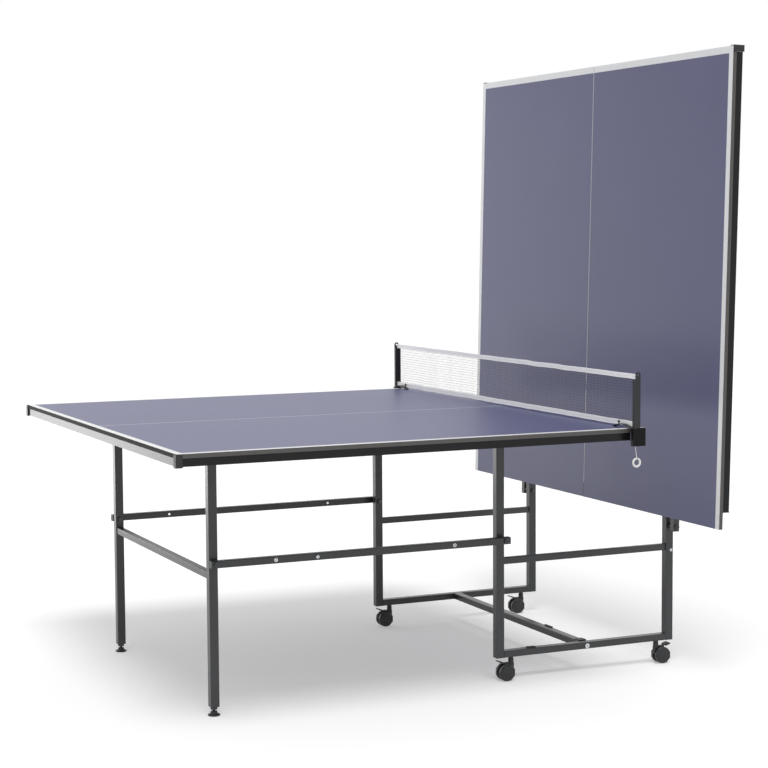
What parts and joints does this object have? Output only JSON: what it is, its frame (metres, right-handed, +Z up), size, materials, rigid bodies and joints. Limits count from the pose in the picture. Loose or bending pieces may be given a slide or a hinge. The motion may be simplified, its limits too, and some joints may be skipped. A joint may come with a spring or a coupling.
{
  "type": "table tennis table",
  "caption": "Folding table tennis table on a wheeled steel carriage, one half lowered for play with its net, the other raised upright.",
  "frame": {"origin": "on the floor, under the middle of the whole table", "axes": "+Z up, +X from the lowered half towards the raised half, Y across the table along the net"},
  "size_m": [1.7006, 1.584, 1.8248],
  "materials": {
    "boards": "matt slate-blue paint on chipboard",
    "frame_steel": "black powder coat, semi-gloss",
    "apron_steel": "black powder coat on folded sheet",
    "moulded_black": "moulded black plastic, fine grain",
    "foot_rubber": "black rubber pad",
    "caster_tread": "black moulded nylon",
    "bolts": "bright zinc plating",
    "net_steel": "black powder coat",
    "net_mesh": "knotted black net cloth with white tapes",
    "net_trim": "white braided cord",
    "ring_plastic": "moulded white plastic"
  },
  "bodies": {
    "carriage": {"post_left_near": "frame_steel", "post_left_far": "frame_steel", "post_right_near": "frame_steel", "post_right_far": "frame_steel", "side_bars": "frame_steel", "floor_crossbar": "frame_steel", "frame_caps": "moulded_black", "link_bushes": "moulded_black", "frame_bolts": "bolts"},
    "left_half": {"left_board_near": "boards", "left_board_far": "boards", "left_aprons": "apron_steel", "left_rails": "apron_steel", "left_caps": "moulded_black", "left_brackets": "apron_steel", "left_pivot_bolts": "bolts", "net_post_near": "net_steel", "net_post_far": "net_steel", "net_sheet": "net_mesh", "net_cord": "net_trim", "net_ring": "ring_plastic"},
    "right_half": {"right_board_near": "boards", "right_board_far": "boards", "right_aprons": "apron_steel", "right_rails": "apron_steel", "right_caps": "moulded_black", "right_brackets": "apron_steel", "right_pivot_bolts": "bolts"},
    "left_leg_frame": {"left_leg_near": "frame_steel", "left_leg_far": "frame_steel", "left_leg_crossbar": "frame_steel"},
    "right_leg_frame": {"right_leg_near": "frame_steel", "right_leg_far": "frame_steel", "right_leg_crossbar": "frame_steel"},
    "left_links": {"left_link_near": "frame_steel", "left_link_far": "frame_steel", "left_link_plugs": "moulded_black", "left_link_bolts": "bolts"},
    "right_links": {"right_link_near": "frame_steel", "right_link_far": "frame_steel", "right_link_plugs": "moulded_black", "right_link_bolts": "bolts"},
    "left_foot_near": {"left_foot_near": "foot_rubber"},
    "left_foot_far": {"left_foot_far": "foot_rubber"},
    "right_foot_near": {"right_foot_near": "foot_rubber"},
    "right_foot_far": {"right_foot_far": "foot_rubber"},
    "caster_1_swivel": {"caster_housing_1": "moulded_black"},
    "caster_1_wheels": {"caster_wheels_1": "caster_tread"},
    "caster_1_brake": {"caster_brake_1": "moulded_black"},
    "caster_2_swivel": {"caster_housing_2": "moulded_black"},
    "caster_2_wheels": {"caster_wheels_2": "caster_tread"},
    "caster_2_brake": {"caster_brake_2": "moulded_black"},
    "caster_3_swivel": {"caster_housing_3": "moulded_black"},
    "caster_3_wheels": {"caster_wheels_3": "caster_tread"},
    "caster_3_brake": {"caster_brake_3": "moulded_black"},
    "caster_4_swivel": {"caster_housing_4": "moulded_black"},
    "caster_4_wheels": {"caster_wheels_4": "caster_tread"},
    "caster_4_brake": {"caster_brake_4": "moulded_black"},
    "net_clamp_screw_near": {"net_clamp_screw_near": "moulded_black"},
    "net_clamp_screw_far": {"net_clamp_screw_far": "moulded_black"}
  },
  "joints": [
    {"name": "left_half_fold", "type": "hinge", "parent": "carriage", "child": "left_half", "pos_m": [0.24223, 0, 0.732], "axis": [0, 1, 0], "range_deg": [0, 88.5]},
    {"name": "right_half_fold", "type": "hinge", "parent": "carriage", "child": "right_half", "pos_m": [0.80223, 0, 0.732], "axis": [0, 1, 0], "range_deg": [0, 88.5]},
    {"name": "left_link_turn", "type": "hinge", "parent": "carriage", "child": "left_links", "pos_m": [0.23423, 0, 0.42], "axis": [0, 1, 0], "range_deg": [0, 88.5]},
    {"name": "right_link_turn", "type": "hinge", "parent": "carriage", "child": "right_links", "pos_m": [0.81023, 0, 0.42], "axis": [0, 1, 0], "range_deg": [0, 88.5]},
    {"name": "left_leg_turn", "type": "hinge", "parent": "left_half", "child": "left_leg_frame", "pos_m": [-0.63777, 0, 0.732], "axis": [0, 1, 0], "range_deg": [-88.5, 0]},
    {"name": "right_leg_turn", "type": "hinge", "parent": "right_half", "child": "right_leg_frame", "pos_m": [0.82527, 0, 1.6117], "axis": [0, 1, 0], "range_deg": [-88.5, 0]},
    {"name": "left_foot_near_screw", "type": "slide", "parent": "left_leg_frame", "child": "left_foot_near", "axis": [0, 0, -1], "range_m": [0, 0.015]},
    {"name": "left_foot_far_screw", "type": "slide", "parent": "left_leg_frame", "child": "left_foot_far", "axis": [0, 0, -1], "range_m": [0, 0.015]},
    {"name": "right_foot_near_screw", "type": "slide", "parent": "right_leg_frame", "child": "right_foot_near", "axis": [0, 0, -1], "range_m": [0, 0.015]},
    {"name": "right_foot_far_screw", "type": "slide", "parent": "right_leg_frame", "child": "right_foot_far", "axis": [0, 0, -1], "range_m": [0, 0.015]},
    {"name": "caster_1_turn", "type": "hinge", "parent": "carriage", "child": "caster_1_swivel", "pos_m": [0.27423, -0.4275, 0.06], "axis": [0, 0, 1], "continuous": true},
    {"name": "caster_1_roll", "type": "hinge", "parent": "caster_1_swivel", "child": "caster_1_wheels", "pos_m": [0.25623, -0.4275, 0.025], "axis": [0, 1, 0], "continuous": true},
    {"name": "caster_1_brake_press", "type": "hinge", "parent": "caster_1_swivel", "child": "caster_1_brake", "pos_m": [0.26123, -0.4275, 0.049], "axis": [0, -1, 0], "range_deg": [0, 16]},
    {"name": "caster_2_turn", "type": "hinge", "parent": "carriage", "child": "caster_2_swivel", "pos_m": [0.27423, 0.4275, 0.06], "axis": [0, 0, 1], "continuous": true},
    {"name": "caster_2_roll", "type": "hinge", "parent": "caster_2_swivel", "child": "caster_2_wheels", "pos_m": [0.25623, 0.4275, 0.025], "axis": [0, 1, 0], "continuous": true},
    {"name": "caster_2_brake_press", "type": "hinge", "parent": "caster_2_swivel", "child": "caster_2_brake", "pos_m": [0.26123, 0.4275, 0.049], "axis": [0, -1, 0], "range_deg": [0, 16]},
    {"name": "caster_3_turn", "type": "hinge", "parent": "carriage", "child": "caster_3_swivel", "pos_m": [0.77023, -0.4275, 0.06], "axis": [0, 0, 1], "continuous": true},
    {"name": "caster_3_roll", "type": "hinge", "parent": "caster_3_swivel", "child": "caster_3_wheels", "pos_m": [0.78823, -0.4275, 0.025], "axis": [0, 1, 0], "continuous": true},
    {"name": "caster_3_brake_press", "type": "hinge", "parent": "caster_3_swivel", "child": "caster_3_brake", "pos_m": [0.78323, -0.4275, 0.049], "axis": [0, 1, 0], "range_deg": [0, 16]},
    {"name": "caster_4_turn", "type": "hinge", "parent": "carriage", "child": "caster_4_swivel", "pos_m": [0.77023, 0.4275, 0.06], "axis": [0, 0, 1], "continuous": true},
    {"name": "caster_4_roll", "type": "hinge", "parent": "caster_4_swivel", "child": "caster_4_wheels", "pos_m": [0.75223, 0.4275, 0.025], "axis": [0, 1, 0], "continuous": true},
    {"name": "caster_4_brake_press", "type": "hinge", "parent": "caster_4_swivel", "child": "caster_4_brake", "pos_m": [0.75723, 0.4275, 0.049], "axis": [0, -1, 0], "range_deg": [0, 16]},
    {"name": "net_clamp_screw_near_slide", "type": "slide", "parent": "left_half", "child": "net_clamp_screw_near", "axis": [0, 0, -1], "range_m": [0, 0.008]},
    {"name": "net_clamp_screw_far_slide", "type": "slide", "parent": "left_half", "child": "net_clamp_screw_far", "axis": [0, 0, -1], "range_m": [0, 0.008]}
  ],
  "couplings": [
    {"joint": "left_link_turn", "follows": "left_half_fold", "ratio": 1},
    {"joint": "left_leg_turn", "follows": "left_half_fold", "ratio": -1},
    {"joint": "right_link_turn", "follows": "right_half_fold", "ratio": 1},
    {"joint": "right_leg_turn", "follows": "right_half_fold", "ratio": -1}
  ]
}
